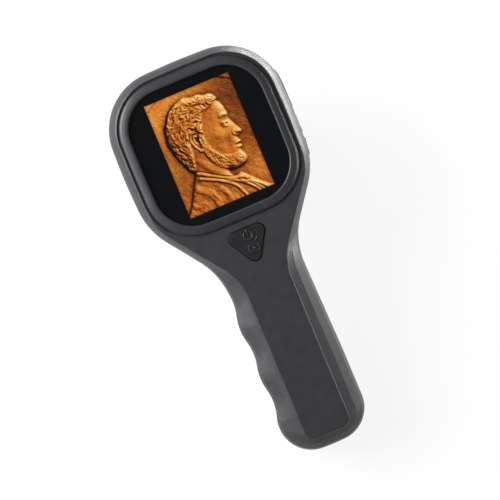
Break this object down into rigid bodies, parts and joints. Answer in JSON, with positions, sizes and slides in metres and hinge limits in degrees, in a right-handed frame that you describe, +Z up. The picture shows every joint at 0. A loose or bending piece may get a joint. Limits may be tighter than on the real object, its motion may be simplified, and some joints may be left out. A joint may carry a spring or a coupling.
{
  "type": "handheld lcd digital microscope",
  "caption": "Paddle-shaped handheld microscope: square head with a screen in front and a ringed snout with a clear hood behind, and a grip with finger grooves.",
  "frame": {"origin": "centre of the footprint, on the table on which the microscope lies screen up, resting on its hood's rim and its handle's heel", "axes": "+Z up from the table, +Y from the handle's end towards the head, +X towards the side keys; the screen faces up, tilted by 14.99 degrees towards the handle"},
  "size_m": [0.0626, 0.1385, 0.0557],
  "materials": {
    "housing": "fine matt moulded grain",
    "key_rubber": "matt",
    "window": "polished, black backed",
    "clear": "clear moulded",
    "lens": "coated",
    "screen": "lit picture",
    "inner_plastic": "matt",
    "board": "solder mask",
    "chip": "matt",
    "steel": "plated",
    "brass": "turned",
    "cell": "sleeve",
    "foam": "closed cell",
    "lamp": "moulded",
    "cable": "polyimide"
  },
  "bodies": {
    "root": {"front_shell": "housing", "rear_shell": "housing", "cover_glass": "window", "glass_gasket": "foam", "display_panel": "screen", "display_frame": "inner_plastic", "main_board": "board", "board_chips": "chip", "card_socket": "steel", "power_key_board": "board", "power_switch": "steel", "side_key_board": "board", "side_switches": "chip", "usb_socket": "steel", "usb_board": "board", "battery": "cell", "battery_pad": "foam", "display_cable": "cable", "key_cable": "cable", "lens_sleeve": "inner_plastic", "lamp_board": "board", "lamps": "lamp", "clear_hood": "clear", "sensor_board": "board", "image_sensor": "chip", "case_screws": "steel", "sleeve_screws": "steel", "sensor_screws": "steel"},
    "focus_ring": {"focus_ring": "housing"},
    "lens_carrier": {"lens_barrel": "inner_plastic", "objective_lens": "lens", "lens_spacer": "inner_plastic", "rear_lens": "lens", "lens_retainer": "brass", "drive_pins": "brass"},
    "power_button": {"power_button": "key_rubber"},
    "rocker_key": {"side_rocker_key": "key_rubber"},
    "middle_key": {"side_key_middle": "key_rubber"},
    "lower_key": {"side_key_lower": "key_rubber"}
  },
  "joints": [
    {"name": "focus_turn", "type": "hinge", "parent": "root", "child": "focus_ring", "pos_m": [-0.00015, 0.04261, 0.01922], "axis": [0, -0.2587, 0.966], "range_deg": [0, 150]},
    {"name": "lens_travel", "type": "slide", "parent": "root", "child": "lens_carrier", "axis": [0, -0.2587, 0.966], "range_m": [0, 0.005]},
    {"name": "power_press", "type": "slide", "parent": "root", "child": "power_button", "axis": [0, 0.2587, -0.966], "range_m": [0, 0.0007], "stiffness_N_per_m": 700},
    {"name": "rocker_tilt", "type": "hinge", "parent": "root", "child": "rocker_key", "pos_m": [0.02835, 0.04657, 0.03768], "axis": [0, -0.2587, 0.966], "range_deg": [-3, 3], "stiffness_Nm_per_rad": 0.05},
    {"name": "middle_key_press", "type": "slide", "parent": "root", "child": "middle_key", "axis": [-1, 0, 0], "range_m": [0, 0.0005], "stiffness_N_per_m": 700},
    {"name": "lower_key_press", "type": "slide", "parent": "root", "child": "lower_key", "axis": [-1, 0, 0], "range_m": [0, 0.0005], "stiffness_N_per_m": 700}
  ],
  "couplings": [
    {"joint": "focus_turn", "follows": "lens_travel", "rad_per_m": 523.6}
  ]
}
